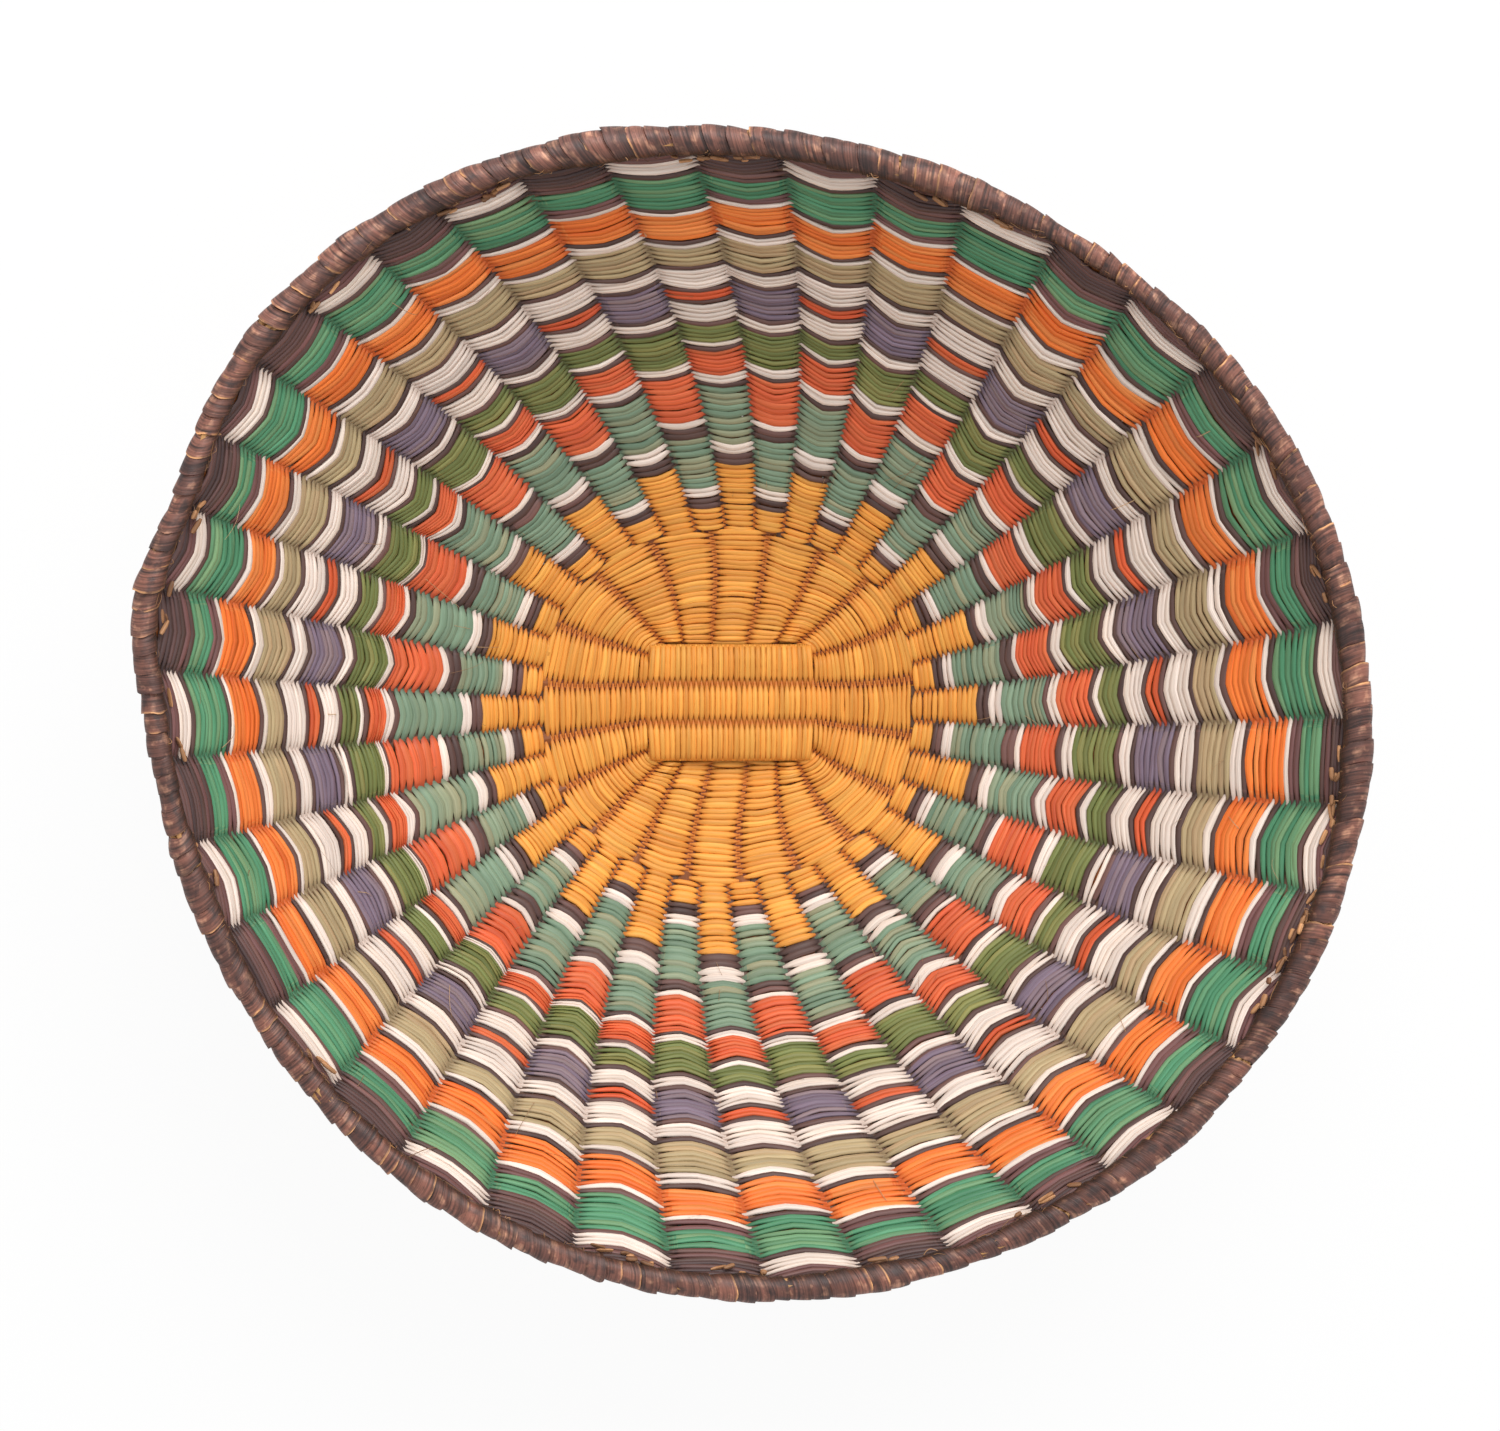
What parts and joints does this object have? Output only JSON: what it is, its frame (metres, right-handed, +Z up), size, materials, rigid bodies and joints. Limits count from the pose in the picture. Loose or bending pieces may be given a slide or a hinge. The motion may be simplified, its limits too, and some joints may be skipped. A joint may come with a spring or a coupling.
{
  "type": "peach basket",
  "caption": "Shallow round wicker bowl basket with dyed wefts woven over spreading ribs from a plaited centre, closed by a wrapped rim.",
  "frame": {"origin": "on the floor, under the middle of the rim's outline", "axes": "+X along the crosswise ribs, to the right of the picture; +Y up the picture; +Z up"},
  "size_m": [0.4049, 0.3834, 0.1151],
  "materials": {
    "brown_weft": "dyed split stems, satin",
    "coral_weft": "dyed split stems, satin",
    "gold_weft": "dyed split stems, satin",
    "green_weft": "dyed split stems, satin",
    "khaki_weft": "dyed split stems, satin",
    "olive_weft": "dyed split stems, satin",
    "orange_weft": "dyed split stems, satin",
    "purple_weft": "dyed split stems, satin",
    "rib": "bare peeled stems, matt",
    "rim_binding": "dry leaf strip, low sheen",
    "rim_core": "bare bundled stems, matt",
    "teal_weft": "dyed split stems, satin",
    "white_weft": "dyed split stems, satin"
  },
  "bodies": {
    "root": {"added_rib_01": "rib", "added_rib_02": "rib", "added_rib_03": "rib", "added_rib_04": "rib", "added_rib_05": "rib", "added_rib_06": "rib", "added_rib_07": "rib", "added_rib_08": "rib", "added_rib_09": "rib", "added_rib_10": "rib", "added_rib_11": "rib", "added_rib_12": "rib", "added_rib_13": "rib", "added_rib_14": "rib", "added_rib_15": "rib", "added_rib_16": "rib", "added_rib_17": "rib", "added_rib_18": "rib", "added_rib_19": "rib", "added_rib_20": "rib", "brown_weft_added": "brown_weft", "centre_weft_between_1": "gold_weft", "centre_weft_between_2": "gold_weft", "centre_weft_main_1": "gold_weft", "centre_weft_main_2": "gold_weft", "coral_weft_added": "coral_weft", "coral_weft_main": "coral_weft", "crosswise_panel_weft": "gold_weft", "crosswise_rib_1": "rib", "crosswise_rib_2": "rib", "crosswise_rib_3": "rib", "diagonal_rib_1": "rib", "diagonal_rib_2": "rib", "diagonal_rib_3": "rib", "diagonal_rib_4": "rib", "diagonal_rib_5": "rib", "diagonal_rib_6": "rib", "diagonal_rib_7": "rib", "diagonal_rib_8": "rib", "gold_weft_added": "gold_weft", "gold_weft_main": "gold_weft", "green_weft_main": "green_weft", "khaki_weft_added": "khaki_weft", "lengthwise_panel_weft": "gold_weft", "lengthwise_rib_1": "rib", "lengthwise_rib_2": "rib", "lengthwise_rib_3": "rib", "olive_weft_added": "olive_weft", "orange_weft_main": "orange_weft", "purple_weft_added": "purple_weft", "rim_binding": "rim_binding", "rim_core": "rim_core", "teal_weft_added": "teal_weft", "teal_weft_main": "teal_weft", "white_weft_main": "white_weft"}
  },
  "joints": []
}
